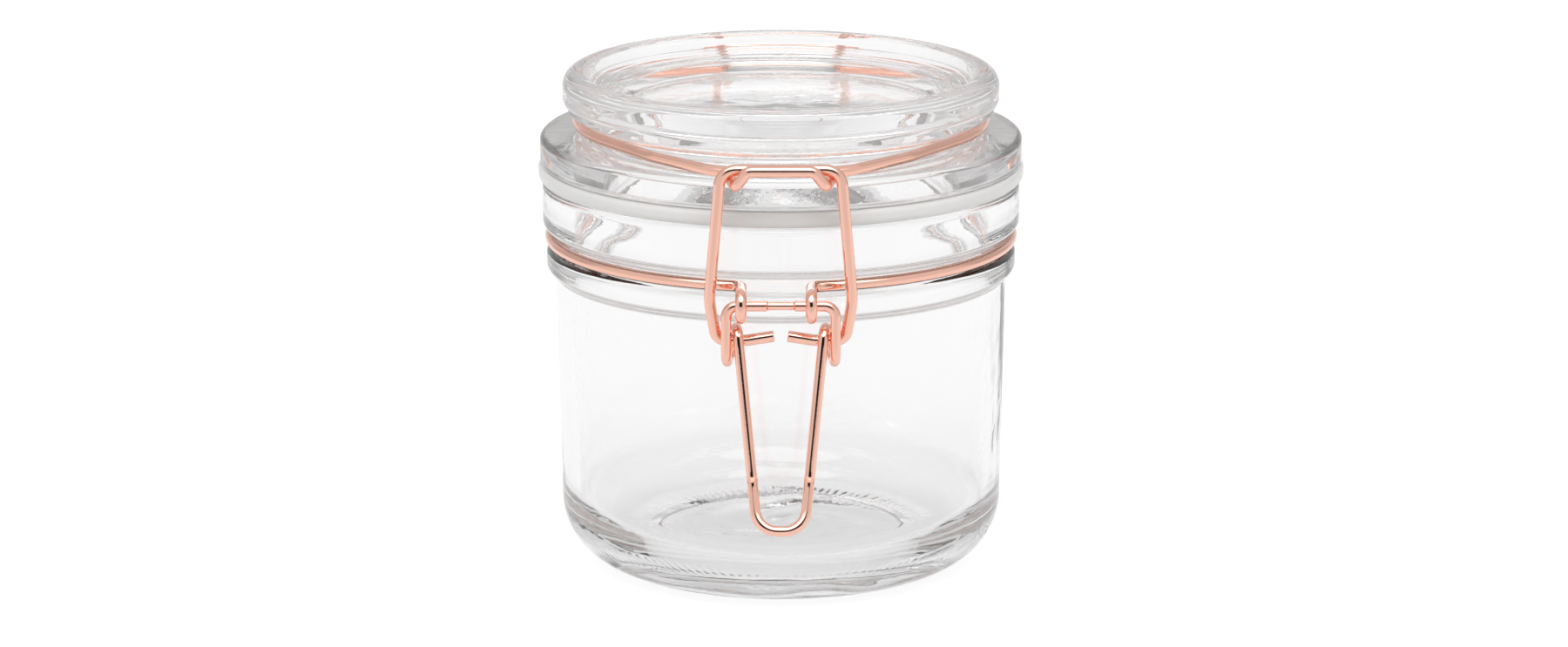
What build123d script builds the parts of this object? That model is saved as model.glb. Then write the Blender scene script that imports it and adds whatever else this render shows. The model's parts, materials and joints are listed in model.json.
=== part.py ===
from build123d import *
import os
from math import acos, atan2, cos, degrees, hypot, radians, sin

# Clip-top storage jar: a glass jar and a glass lid, a silicone seal between them, and a
# wire latch of four bent wires and one joining pin. Millimetres, +Z up, +Y to the hinge at
# the back. The origin is the centre of the ring that the jar stands on.

# ---- glass jar ----
BODY_RADIUS = 44.6          # outside of the wall at the shoulder
BODY_TAPER = 1.1            # how much the wall draws in from the shoulder to the base corner
BODY_HEIGHT = 58.9          # base to shoulder
SHOULDER_ROUND = 1.5
WALL = 3.2
BORE_ROUND = 3.0            # where the bore steps to the mouth
BASE_CORNER = 13.5          # outside radius of the base corner
BASE_THICKNESS = 5.2        # glass above the middle of the push-up
PUSH_UP = 1.4               # rise of the underside inside the standing ring
PUSH_UP_RADIUS = 24.0
PUSH_UP_ROUND = 2.0
STANDING_RING = 2.4         # width of the ring that touches the table
BASE_FLAT = 0.2             # straight left between that ring and the corner
BEAD_PROUD = 1.8            # lower bead, beyond the body wall
BEAD_HEIGHT = 4.1
BEAD_ROUND = 1.7
BEAD_FALL = 0.2             # fall of the bead's top outwards
BEAD_SLOPE = 1.0            # how far the bead's and the rim's undersides rise outwards
GROOVE_DEPTH = 0.15         # neck groove root, inside the body wall
GROOVE_HEIGHT = 4.0
GROOVE_FLANK = 0.6          # slope of the neck groove's two sides
GROOVE_ROUND = 0.8
RIM_PROUD = 2.5             # sealing rim, beyond the body wall
RIM_HEIGHT = 10.6
RIM_ROUND = 1.5
MOUTH_STEP = 0.5            # extra wall at the mouth, inside the body bore
MOUTH_ROUND = 1.2

# ---- seal and lid ----
SEAL_OVERHANG = 0.8         # seal beyond the jar's rim
SEAL_THICKNESS = 3.4
SEAL_ROUND = 1.3
SEAL_PLUG_GAP = 0.3         # seal's bore, clear of the lid's plug
SEAL_BORE_ROUND = 0.4
FLANGE_INSET = 0.4          # lid flange, inside the seal's edge
FLANGE_THICKNESS = 5.5
FLANGE_ROUND = 1.2
FLANGE_EDGE = 0.5           # round of the flange's lower edge
FLANGE_RISE = 0.5           # how far the flange's top rises towards the groove
PLUG_GAP = 0.9              # plug, clear of the jar's mouth
PLUG_DEPTH = 3.0            # plug below the seal
PLUG_WIDTH = 5.0            # flat of the plug's foot
PLUG_ROUND = 1.0
PLUG_INNER_ROUND = 2.0
PLUG_ROOT = 0.2             # round between the plug and the flange
LID_GROOVE_IN = 8.7         # lid groove root, inside the flange's edge
LID_GROOVE_RISE = 2.5       # groove floor to the wire's centre
LID_GROOVE_SLOPE = 1.2      # groove's lower side, out from its root
LID_GROOVE_ROUND = 0.8
LID_RIM_BELOW = 1.9         # wire's centre to the underside of the lid's rim
LID_RIM_PROUD = 4.2         # lid rim, beyond the groove root
LID_RIM_HEIGHT = 8.2
LID_RIM_WIDTH = 5.5         # rim's outside to the foot of its inner wall
LID_RIM_ROUND = 3.0
LID_CREST_ROUND = 1.0       # round of the crest's inner edge
LID_RIM_CHIN = 2.4          # height of the rim's rounded lower corner
LID_RIM_CHIN_IN = 1.3       # how far in the rim's flat underside ends
LID_RIM_CHIN_ROUND = 2.5
LID_RIM_SLOPE = 0.2         # rise of the rim's underside, each way
LID_RIM_DRAFT = 1.0         # lean of the rim's inner wall
LEDGE_ROUND = 0.8
LEDGE_FALL = 1.9            # fall of the ledge towards the disc
RECESS_DEPTH = 2.6          # lid's crest to the outer edge of the ledge inside it
DISC_RADIUS = 29.5          # sunk disc in the middle of the lid
DISC_DEPTH = 4.0            # disc below the ledge's outer edge
DISC_STEP = 1.7             # width of the step down to the disc
DISC_ROUND = 1.2
LID_FLOOR = 4.2             # glass under the sunk disc
UNDERSIDE_RADIUS = 34.0     # flat underside, out to the plug's inner wall
UNDERSIDE_ROUND = 2.0

# ---- wire latch ----
WIRE = 2.2                  # diameter of the neck wire, the lid wire and the bail
LEVER_WIRE = 2.05           # diameter of the lever's wire
LOOP_GAP = 0.15             # loop around a wire, clear of it
WIRE_SEAT = 0.1             # ring wire, clear of its groove's root
AXLE_STAND = 4.9            # lever axle in front of the jar's sealing rim
AXLE_DROP = 2.2             # axle below the neck wire's ring
PIN_DROP = 7.3              # bail pins below the axle
ARM_LEAN = 0.3              # arms lean back by this much, from the axle to the pins
ARM_HALF = 10.3             # half the spacing of the lever's arms
ARM_BEND = 2.2
ARM_FOOT = 4.0              # turn of the arm below the pins
COIL_GAP = 0.1              # handle's leg, clear of the arm beside it at the pin
COIL_STEP = 0.5             # sideways step of the coil around a pin
COIL_BEND = 2.1
HANDLE_DROP = 34.3          # handle's end below the pins
HANDLE_HALF = 4.5           # half the spacing of the legs at the handle's end
HANDLE_OUT = 4.8            # legs lean out by this much, down to the bend above the end
HANDLE_KICK = 4.4           # handle's end stands out from that bend
HANDLE_KICK_RISE = 8.8      # and is this much below it
HANDLE_BEND = 12.0          # bend radius there
HANDLE_FLAT = 0.2           # half the straight at the handle's end
KICK_HALF = 5.4             # half the spacing of the legs at the bend above the end
AXLE_GAP_HALF = 2.55        # half the gap that the axle pin fills
AXLE_PIN = 1.6              # axle pin diameter
LEFT_EYE_IN = 2.8           # eyes of the neck wire, inside the lever's arms
RIGHT_EYE_IN = 4.55
EYE_BEND = 2.1
EYE_RUN = 14.0              # degrees from the front where the neck wire leaves its groove
EYE_TAIL = 1.6              # end of an eye, past the middle of what it holds
BAIL_STAND = 4.3            # bail bar in front of the lid's flange
BAIL_BAR_RISE = 0.95        # bail bar above the lid wire
BAIL_TOP_IN = 0.9           # bail bar's corners, inside its legs' feet
BAIL_KNEE_OUT = 1.3         # bail's knees, outside its legs' feet
BAIL_KNEE_RISE = 8.0        # knee above the pins
BAIL_CORNER = 3.2
BAIL_KNEE = 10.0            # bend radius at the knee
BAIL_PIN_OUT = 1.9          # bail's legs' feet, outside the lever's arms
PIN_BEND_IN = 4.0           # where the pin's free tip starts to rise, inside the arms
PIN_TIP_HALF = 1.3
PIN_TIP_RISE = 0.8
PIN_BEND = 4.0              # bend radius where the tip rises
PIN_CORNER = 2.2            # bend radius between the bail's leg and its pin
HOOK_SLACK = 0.65           # hook's front bar, clear of the bail bar
HOOK_DROP = 0.6             # room under the bail bar in the hook
HOOK_IN = 2.3               # hook's two dips, inside the bail bar's corners
HOOK_BAR_IN = 2.8           # front bar's ends, inside the dips
HOOK_LIP = 0.3              # hook's front bar above the bail bar
HOOK_BACK = 0.5             # hook's back, clear of the bail bar
HOOK_BEND = 1.5
HOOK_NARROW = 0.6           # how much narrower the dips are at the front bar
HOOK_WIDEN = 1.0            # how much wider they are at the back
HOOK_FRONT_BACK = 1.0       # front bar to the front of the dip
HOOK_DIP_BACK = 1.2         # bail bar to the back of the dip
HOOK_RUN_OUT = 4.5          # where the wire turns towards the hook, outside the dips
HOOK_RUN_BACK = 4.4         # how far behind the bail bar that is
RUN_BEND_OUT = 11.0         # where the wire eases out of its tangent, outside that turn
RUN_BEND = 18.0             # bend radius there
TURN_BEND = 5.0             # bend radius where it turns towards the hook
EASE_BEND = 3.0             # bend radius where the wire leaves its groove at the back
HINGE_STAND = 1.6           # hinge bar behind the lid's flange, beyond a wire's radius
BRACKET_HALF = 15.2         # half the spacing of the hinge bracket's legs
BRACKET_BEND = 3.0
HINGE_EYE_GAP = 0.4         # lid wire's eye, clear of the bracket's leg beside it
GROOVE_EXIT_BACK = 22.0     # degrees from the back where the lid wire leaves its groove
GROOVE_EXIT_FRONT = 57.0    # degrees from the front where it leaves it again

# ---- places that follow from those sizes ----
WIRE_R = WIRE / 2
LOOP = (WIRE + LEVER_WIRE) / 2 + LOOP_GAP   # centre of a wire that loops around another
HINGE_LOOP = WIRE + LOOP_GAP
BORE = BODY_RADIUS - WALL
MOUTH = BORE - MOUTH_STEP
GROOVE_ROOT = BODY_RADIUS - GROOVE_DEPTH
BEAD_TOP = BODY_HEIGHT + BEAD_HEIGHT + BEAD_SLOPE
RIM_BOTTOM = BEAD_TOP + GROOVE_HEIGHT
RIM_TOP = RIM_BOTTOM + RIM_HEIGHT - BEAD_SLOPE
RIM_RADIUS = BODY_RADIUS + RIM_PROUD
SEAL_RADIUS = RIM_RADIUS + SEAL_OVERHANG
SEAL_TOP = RIM_TOP + SEAL_THICKNESS
PLUG_RADIUS = MOUTH - PLUG_GAP
PLUG_BOTTOM = RIM_TOP - PLUG_DEPTH
FLANGE_RADIUS = SEAL_RADIUS - FLANGE_INSET
FLANGE_TOP = SEAL_TOP + FLANGE_THICKNESS
LID_WIRE_Z = FLANGE_TOP + LID_GROOVE_RISE
LID_GROOVE_ROOT = FLANGE_RADIUS - LID_GROOVE_IN
LID_WIRE_RADIUS = LID_GROOVE_ROOT + WIRE_R + WIRE_SEAT
LID_RIM_RADIUS = LID_GROOVE_ROOT + LID_RIM_PROUD
LID_RIM_BOTTOM = LID_WIRE_Z + LID_RIM_BELOW
LID_TOP = LID_RIM_BOTTOM + LID_RIM_HEIGHT
NECK_WIRE_Z = (BEAD_TOP + RIM_BOTTOM) / 2
NECK_WIRE_RADIUS = GROOVE_ROOT + WIRE_R + WIRE_SEAT
AXLE_F = RIM_RADIUS + AXLE_STAND
AXLE_Z = NECK_WIRE_Z - AXLE_DROP
PIN_F = AXLE_F - ARM_LEAN - LOOP
PIN_Z = AXLE_Z - PIN_DROP
BAIL_F = FLANGE_RADIUS + BAIL_STAND
BAIL_Z = LID_WIRE_Z + BAIL_BAR_RISE
HINGE_F = FLANGE_RADIUS + HINGE_STAND + WIRE_R
HINGE_Z = LID_WIRE_Z - HINGE_LOOP
HINGE_EYE_HALF = BRACKET_HALF - WIRE - HINGE_EYE_GAP
LEFT_EYE = ARM_HALF - LEFT_EYE_IN
RIGHT_EYE = ARM_HALF - RIGHT_EYE_IN
LEG_HALF = ARM_HALF - LEVER_WIRE - COIL_GAP
PIN_BEND_HALF = ARM_HALF - PIN_BEND_IN
BAIL_PIN_HALF = ARM_HALF + BAIL_PIN_OUT
BAIL_KNEE_HALF = BAIL_PIN_HALF + BAIL_KNEE_OUT
BAIL_TOP_HALF = BAIL_PIN_HALF - BAIL_TOP_IN
HOOK_HALF = BAIL_TOP_HALF - HOOK_IN
HOOK_BAR_HALF = HOOK_HALF - HOOK_BAR_IN
HOOK_RUN_HALF = HOOK_HALF + HOOK_RUN_OUT
RUN_BEND_HALF = HOOK_RUN_HALF + RUN_BEND_OUT


def front(x, forward, z):
    """A point named by how far it stands in front of the jar's axis."""
    return (x, -forward, z)


def mirrored(half):
    """A path from its middle outwards, doubled into one from end to end."""
    other = [(-x, y, z) for x, y, z in half]
    return other[::-1] + half


def bent_wire(points, radii, diameter=WIRE):
    """A round wire along straight runs joined by tangent bends."""
    with BuildPart() as wire:
        with BuildLine() as path:
            FilletPolyline(*points, radius=radii)
        with BuildSketch(Plane(origin=path.line @ 0, z_dir=path.line % 0)):
            Circle(diameter / 2)
        sweep()
    return wire.part


def turned(corners, rounds):
    """Glass turned about Z from an outline of (radius, height); rounds gives the radius
    of each corner that is rounded, by its place in the outline."""
    with BuildPart() as glass:
        with BuildSketch(Plane.XZ):
            with BuildLine():
                FilletPolyline(*corners, radius=rounds, close=True)
            make_face()
        revolve(axis=Axis.Z)
    return glass.part


def jar_body():
    foot = BODY_RADIUS - BODY_TAPER
    ring = foot - BASE_CORNER
    bead = BODY_RADIUS + BEAD_PROUD
    floor = PUSH_UP + BASE_THICKNESS
    inside = BASE_CORNER - WALL
    outline = [
        ((0, PUSH_UP), 0),
        ((PUSH_UP_RADIUS, PUSH_UP), PUSH_UP_ROUND),
        ((ring - STANDING_RING, 0), 0),
        ((ring, 0), 0),
        ((foot, 0), BASE_CORNER - BASE_FLAT),
        ((BODY_RADIUS, BODY_HEIGHT), SHOULDER_ROUND),
        ((bead, BODY_HEIGHT + BEAD_SLOPE), BEAD_ROUND),
        ((bead, BEAD_TOP - BEAD_FALL), BEAD_ROUND),
        ((GROOVE_ROOT, BEAD_TOP + GROOVE_FLANK), GROOVE_ROUND),
        ((GROOVE_ROOT, RIM_BOTTOM - GROOVE_FLANK), GROOVE_ROUND),
        ((RIM_RADIUS, RIM_BOTTOM + GROOVE_FLANK), RIM_ROUND),
        ((RIM_RADIUS, RIM_TOP), RIM_ROUND),
        ((MOUTH, RIM_TOP), MOUTH_ROUND),
        ((MOUTH, RIM_BOTTOM), BORE_ROUND),
        ((BORE, BEAD_TOP), BORE_ROUND),
        ((foot - WALL, floor), inside),
        ((0, floor), 0),
    ]
    return turned(*zip(*outline))


def seal_ring():
    bore = PLUG_RADIUS + SEAL_PLUG_GAP
    outline = [
        ((bore, RIM_TOP), SEAL_BORE_ROUND),
        ((SEAL_RADIUS, RIM_TOP), SEAL_ROUND),
        ((SEAL_RADIUS, SEAL_TOP), SEAL_ROUND),
        ((bore, SEAL_TOP), SEAL_BORE_ROUND),
    ]
    return turned(*zip(*outline))


def glass_lid():
    ledge = LID_TOP - RECESS_DEPTH
    disc = ledge - DISC_DEPTH
    inner_wall = LID_RIM_RADIUS - LID_RIM_WIDTH
    chin = LID_RIM_RADIUS - LID_RIM_CHIN_IN
    groove_edge = LID_GROOVE_ROOT + LID_GROOVE_SLOPE
    underside = disc - LID_FLOOR
    outline = [
        ((0, underside), 0),
        ((UNDERSIDE_RADIUS, underside), UNDERSIDE_ROUND),
        ((PLUG_RADIUS - PLUG_WIDTH, PLUG_BOTTOM), PLUG_INNER_ROUND),
        ((PLUG_RADIUS, PLUG_BOTTOM), PLUG_ROUND),
        ((PLUG_RADIUS, SEAL_TOP), PLUG_ROOT),
        ((FLANGE_RADIUS, SEAL_TOP), FLANGE_EDGE),
        ((FLANGE_RADIUS, FLANGE_TOP), FLANGE_ROUND),
        ((groove_edge, FLANGE_TOP + FLANGE_RISE), LID_GROOVE_ROUND),
        ((LID_GROOVE_ROOT, LID_WIRE_Z - WIRE_R), LID_GROOVE_ROUND),
        ((LID_GROOVE_ROOT, LID_RIM_BOTTOM - LID_RIM_SLOPE), LID_GROOVE_ROUND),
        ((chin, LID_RIM_BOTTOM + LID_RIM_SLOPE), LID_GROOVE_ROUND),
        ((LID_RIM_RADIUS, LID_RIM_BOTTOM + LID_RIM_CHIN), LID_RIM_CHIN_ROUND),
        ((LID_RIM_RADIUS, LID_TOP), LID_RIM_ROUND),
        ((inner_wall + LID_RIM_DRAFT, LID_TOP), LID_CREST_ROUND),
        ((inner_wall, ledge), LEDGE_ROUND),
        ((DISC_RADIUS + DISC_STEP, ledge - LEDGE_FALL), DISC_ROUND),
        ((DISC_RADIUS, disc), DISC_ROUND),
        ((0, disc), 0),
    ]
    return turned(*zip(*outline))


def ring_corner(radius, start, end, z):
    """The point where the tangents at two angles of a ring meet. Angles are in degrees
    from the front, towards the left."""
    middle = radians(start + end) / 2
    reach = radius / cos(radians(end - start) / 2)
    return (-reach * sin(middle), -reach * cos(middle), z)


def on_tangent(radius, angle, half):
    """How far from the axis a ring's tangent runs, at a distance to the left of it."""
    return (radius - half * sin(radians(angle))) / cos(radians(angle))


def neck_wire():
    """Ring in the neck groove. Its front ends are eyes around the lever's axle, and its
    back rises as the bracket that carries the hinge bar."""
    bracket = hypot(BRACKET_HALF, HINGE_F)
    leaves = 180 - degrees(atan2(BRACKET_HALF, HINGE_F) + acos(NECK_WIRE_RADIUS / bracket))

    def left_half(eye):
        run = on_tangent(NECK_WIRE_RADIUS, EYE_RUN, eye)
        return [
            front(-eye, AXLE_F - EYE_TAIL, AXLE_Z - LOOP),
            front(-eye, AXLE_F + LOOP, AXLE_Z - LOOP),
            front(-eye, AXLE_F + LOOP, AXLE_Z + LOOP),
            front(-eye, run, NECK_WIRE_Z),
            ring_corner(NECK_WIRE_RADIUS, EYE_RUN, leaves, NECK_WIRE_Z),
            (-BRACKET_HALF, HINGE_F, NECK_WIRE_Z),
            (-BRACKET_HALF, HINGE_F, HINGE_Z),
        ]

    right = [(-x, y, z) for x, y, z in left_half(RIGHT_EYE)]
    bends = [EYE_BEND, EYE_BEND, EYE_BEND, NECK_WIRE_RADIUS, BRACKET_BEND, BRACKET_BEND]
    return bent_wire(left_half(LEFT_EYE) + right[::-1], bends + bends[::-1])


def lid_wire():
    """Ring in the lid's groove. At the front it dips under the bail's bar and rises in
    front of it as a hook, and at the back its ends are eyes around the hinge bar."""
    hook_f = BAIL_F + WIRE + HOOK_SLACK
    dip_z = BAIL_Z - WIRE - HOOK_DROP
    run_end = on_tangent(LID_WIRE_RADIUS, GROOVE_EXIT_FRONT, RUN_BEND_HALF)
    back = on_tangent(LID_WIRE_RADIUS, GROOVE_EXIT_BACK, HINGE_EYE_HALF)
    half = [
        front(HOOK_BAR_HALF, hook_f, BAIL_Z + HOOK_LIP),
        front(HOOK_HALF - HOOK_NARROW, hook_f - HOOK_FRONT_BACK, dip_z),
        front(HOOK_HALF, BAIL_F - HOOK_DIP_BACK, dip_z),
        front(HOOK_HALF + HOOK_WIDEN, BAIL_F - WIRE - HOOK_BACK, LID_WIRE_Z),
        front(HOOK_RUN_HALF, BAIL_F - HOOK_RUN_BACK, LID_WIRE_Z),
        front(RUN_BEND_HALF, run_end, LID_WIRE_Z),
        ring_corner(LID_WIRE_RADIUS, -GROOVE_EXIT_FRONT, GROOVE_EXIT_BACK - 180, LID_WIRE_Z),
        (HINGE_EYE_HALF, back, LID_WIRE_Z),
        (HINGE_EYE_HALF, HINGE_F + HINGE_LOOP, LID_WIRE_Z),
        (HINGE_EYE_HALF, HINGE_F + HINGE_LOOP, HINGE_Z - HINGE_LOOP),
        (HINGE_EYE_HALF, HINGE_F - EYE_TAIL, HINGE_Z - HINGE_LOOP),
    ]
    bends = [HOOK_BEND, HOOK_BEND, HOOK_BEND, HOOK_BEND, TURN_BEND, RUN_BEND]
    bends += [LID_WIRE_RADIUS, EASE_BEND, EYE_BEND, EYE_BEND]
    return bent_wire(mirrored(half), bends[::-1] + bends)


def lever():
    """Each end starts beside the axle pin, runs out along the axle, turns down as an arm
    in front of the bail's pin, passes once around that pin and becomes a handle leg."""
    arm_foot = PIN_Z - ARM_FOOT
    coil_back = PIN_F - LOOP
    coil_front = PIN_F + LOOP
    end_z = PIN_Z - HANDLE_DROP
    kick_f = coil_front + HANDLE_OUT
    half = [
        front(HANDLE_HALF, kick_f + HANDLE_KICK, end_z),
        front(KICK_HALF, kick_f, end_z + HANDLE_KICK_RISE),
        front(LEG_HALF, coil_front, PIN_Z + LOOP),
        front(LEG_HALF + COIL_STEP, coil_back, PIN_Z + LOOP),
        front(ARM_HALF - COIL_STEP, coil_back, arm_foot),
        front(ARM_HALF, coil_front, arm_foot),
        front(ARM_HALF, AXLE_F, AXLE_Z),
        front(AXLE_GAP_HALF, AXLE_F, AXLE_Z),
    ]
    bends = [HANDLE_HALF - HANDLE_FLAT, HANDLE_BEND]
    bends += [COIL_BEND, COIL_BEND, COIL_BEND, COIL_BEND, ARM_BEND]
    return bent_wire(mirrored(half), bends[::-1] + bends, LEVER_WIRE)


def lever_axle_pin():
    """Short pin between the lever's two ends, on the axle's line."""
    start = Plane(origin=(-AXLE_GAP_HALF, -AXLE_F, AXLE_Z), z_dir=(1, 0, 0))
    with BuildPart() as pin:
        with BuildSketch(start):
            Circle(AXLE_PIN / 2)
        extrude(amount=2 * AXLE_GAP_HALF)
    return pin.part


def bail():
    """Bar across the top, and legs that widen to a knee and turn in as the pins."""
    knee_z = PIN_Z + BAIL_KNEE_RISE
    knee_f = PIN_F + (BAIL_F - PIN_F) * BAIL_KNEE_RISE / (BAIL_Z - PIN_Z)
    half = [
        front(BAIL_TOP_HALF, BAIL_F, BAIL_Z),
        front(BAIL_KNEE_HALF, knee_f, knee_z),
        front(BAIL_PIN_HALF, PIN_F, PIN_Z),
        front(PIN_BEND_HALF, PIN_F, PIN_Z),
        front(PIN_TIP_HALF, PIN_F, PIN_Z + PIN_TIP_RISE),
    ]
    bends = [BAIL_CORNER, BAIL_KNEE, PIN_CORNER, PIN_BEND]
    return bent_wire(mirrored(half), bends[::-1] + bends)


PARTS = [jar_body, glass_lid, seal_ring, neck_wire, lid_wire, bail, lever, lever_axle_pin]


def main():
    os.makedirs("parts", exist_ok=True)
    for make in PARTS:
        piece = make()
        piece.label = make.__name__
        export_step(piece, f"parts/{make.__name__}.step")


main()
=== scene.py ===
"""Clip-top glass storage jar: the looks of the glass, the seal and the copper wire latch."""

import json
from math import acos, atan2, ceil, cos, hypot, pi, radians, sin, tan

import bpy
import numpy as np
from mathutils import Matrix, Vector


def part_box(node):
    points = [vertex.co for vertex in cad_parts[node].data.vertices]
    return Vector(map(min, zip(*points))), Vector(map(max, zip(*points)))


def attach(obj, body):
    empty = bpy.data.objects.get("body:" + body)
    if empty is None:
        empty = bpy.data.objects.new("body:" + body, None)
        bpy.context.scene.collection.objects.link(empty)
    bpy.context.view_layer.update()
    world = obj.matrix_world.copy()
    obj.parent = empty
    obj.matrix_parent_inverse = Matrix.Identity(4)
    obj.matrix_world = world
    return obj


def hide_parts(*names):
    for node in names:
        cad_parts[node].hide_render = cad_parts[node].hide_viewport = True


bl_info = {
    "name": "Clip-top glass jar",
    "version": (1, 0, 0),
    "blender": (4, 5, 0),
    "location": "3D View > Sidebar > Glass Jar",
    "description": "Builds the glass, seal and copper latch of a clip-top storage jar",
    "category": "Object",
}

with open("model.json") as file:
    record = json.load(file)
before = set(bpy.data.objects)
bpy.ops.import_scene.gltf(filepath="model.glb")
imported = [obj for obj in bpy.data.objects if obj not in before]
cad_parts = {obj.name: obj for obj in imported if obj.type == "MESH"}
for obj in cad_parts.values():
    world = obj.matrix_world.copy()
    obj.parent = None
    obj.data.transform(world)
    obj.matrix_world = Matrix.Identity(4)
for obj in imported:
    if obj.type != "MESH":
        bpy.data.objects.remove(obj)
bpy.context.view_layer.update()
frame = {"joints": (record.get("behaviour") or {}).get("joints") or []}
MM = 0.001

# ---- places that the frame gives ----
JAR_LOW, JAR_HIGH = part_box("jar_body")
LID_LOW, LID_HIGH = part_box("glass_lid")
SEAL_LOW, SEAL_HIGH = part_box("seal_ring")
NECK_WIRE_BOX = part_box("neck_wire")
LID_WIRE_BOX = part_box("lid_wire")
LEVER_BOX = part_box("lever")
PIN_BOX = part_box("lever_axle_pin")
JOINT = {j["name"]: Vector(j["pos_m"]) for j in frame["joints"]}
AXLE = JOINT["lever_pivot"]
PINS = JOINT["bail_pivot"]
HINGE = JOINT["lid_hinge"]


def length(name, description, default):
    """A size that a user may change, in metres."""
    return bpy.props.FloatProperty(
        name=name, description=description, default=default, unit="LENGTH", precision=5)


def colour(name, description, default):
    """A colour that a user may change."""
    return bpy.props.FloatVectorProperty(
        name=name, description=description, default=default, size=4, subtype="COLOR",
        min=0.0, max=1.0)


def share(name, description, default):
    """A plain factor that a user may change."""
    return bpy.props.FloatProperty(
        name=name, description=description, default=default, subtype="FACTOR",
        min=0.0, max=1.0)


class JarSizes(bpy.types.PropertyGroup):
    """Sizes of the glass jar."""
    body_radius: length("Body radius", "Outside of the wall at the shoulder", 44.6 * MM)
    body_taper: length("Body taper", "How much the wall draws in towards the base", 1.1 * MM)
    body_height: length("Body height", "Base to shoulder", 58.9 * MM)
    wall: length("Wall", "Thickness of the wall", 3.2 * MM)
    base_corner: length("Base corner", "Outside radius of the base corner", 13.3 * MM)
    base_thickness: length("Base thickness", "Glass above the push-up", 5.2 * MM)
    push_up: length("Push-up", "Rise of the underside", 1.4 * MM)
    push_up_radius: length("Push-up radius", "Radius of the raised underside", 24.0 * MM)
    bead_proud: length("Bead", "Lower bead, beyond the body wall", 1.8 * MM)
    bead_height: length("Bead height", "Height of the lower bead", 4.1 * MM)
    groove_height: length("Neck groove", "Height of the groove for the neck wire", 4.0 * MM)
    mouth_step: length("Mouth step", "Extra wall at the mouth", 0.5 * MM)
    knurls: bpy.props.IntProperty(
        name="Knurls", description="Grip marks around the standing ring", default=112)


class LidSizes(bpy.types.PropertyGroup):
    """Sizes of the glass lid and the seal."""
    flange_thickness: length("Flange", "Thickness of the flange", 5.5 * MM)
    groove_in: length("Groove depth", "Groove root, inside the flange's edge", 8.7 * MM)
    wire_rise: length("Wire rise", "Flange's top to the wire's middle", 2.5 * MM)
    rim_proud: length("Rim", "Lid rim, beyond the groove root", 4.2 * MM)
    rim_height: length("Rim height", "Height of the lid's rim", 8.2 * MM)
    rim_width: length("Rim width", "Rim's outside to its inner wall's foot", 5.5 * MM)
    rim_draft: length("Rim draft", "Lean of the rim's inner wall", 1.0 * MM)
    recess: length("Recess", "Lid's crest to the ledge inside it", 2.6 * MM)
    disc_radius: length("Disc radius", "Radius of the sunk disc", 29.5 * MM)
    disc_depth: length("Disc depth", "Disc below the ledge's outer edge", 4.0 * MM)
    ledge_fall: length("Ledge fall", "Fall of the ledge towards the disc", 1.9 * MM)
    underside: length("Underside", "Radius of the flat underside", 34.0 * MM)
    floor: length("Floor", "Glass under the sunk disc", 4.2 * MM)
    ledge_rings: bpy.props.IntProperty(
        name="Ledge rings", description="Fine steps across the ledge", default=5)
    plug_radius: length("Plug radius", "Plug that reaches into the mouth", 40.0 * MM)


class WireSizes(bpy.types.PropertyGroup):
    """Sizes of the wires."""
    wire: length("Wire", "Diameter of the neck wire, lid wire and bail", 2.2 * MM)
    lever_wire: length("Lever wire", "Diameter of the lever's wire", 2.05 * MM)
    loop_gap: length("Loop gap", "Clearance of a loop around a wire", 0.15 * MM)
    ring_height: length("Neck ring height", "Neck wire above the base", 66.0 * MM)
    bail_top: length("Bail bar", "Height of the bail's bar above the base", 89.95 * MM)
    bail_front: length("Bail bar place", "Bail's bar in front of the axis", 51.8 * MM)


class GlassLook(bpy.types.PropertyGroup):
    """Finish of the glass."""
    tint: colour("Tint", "Colour of the glass", (0.995, 0.992, 0.993, 1.0))
    waviness: length("Waviness", "Depth of the slow waves in the pressed walls", 0.10 * MM)


class CopperLook(bpy.types.PropertyGroup):
    """Finish of the wires."""
    tint: colour("Copper", "Colour of the plating", (0.96, 0.57, 0.455, 1.0))
    roughness: share("Roughness", "Roughness of the polished plating", 0.06)


class StudioLook(bpy.types.PropertyGroup):
    """Light and floor."""
    floor_radius: length("Floor radius", "Radius of the pale floor", 0.7)
    white: bpy.props.FloatProperty(name="White", description="Surround's brightness", default=0.78)
    flag: share("Side flags", "Brightness of the grey flags at both sides", 0.72)
    room_glass: share("Room in glass", "How much lighter the glass shows the unlit room", 0.6)
    floor_white: share("Floor", "Floor's own brightness as the glass shows it", 0.65)
    back: share("Back wall", "Brightness of the wall behind the table, above it", 0.74)
    softbox: bpy.props.FloatProperty(name="Softbox", description="Overhead light", default=3.2)


# ---- outlines and paths ----
ARC_STEP = radians(9)       # turn between two points of a bend
FINE_STEP = radians(2)      # the same on a bend wider than WIDE_BEND
WIDE_BEND = 10 * MM
RUN_STEP = 2.2 * MM         # longest run along a turned outline
WIRE_STEP = 1.5 * MM        # longest run along a wire
AROUND = 400                # points around the lid and the seal
POINTS_PER_KNURL = 5        # points around the jar for each grip mark


def rounded_corner(before, corner, after, radius, step=ARC_STEP):
    """Points of the arc that rounds a corner, tangent to the runs on both sides."""
    u = (before - corner).normalized()
    v = (after - corner).normalized()
    half = u.angle(v) / 2
    middle = corner + (u + v).normalized() * radius / sin(half)
    start = corner + u * radius / tan(half) - middle
    end = corner + v * radius / tan(half) - middle
    turn = pi - 2 * half
    count = max(2, ceil(turn / step))
    axis = start.cross(end)
    return [middle + Matrix.Rotation(turn * i / count, 3, axis) @ start
            for i in range(count + 1)]


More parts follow.
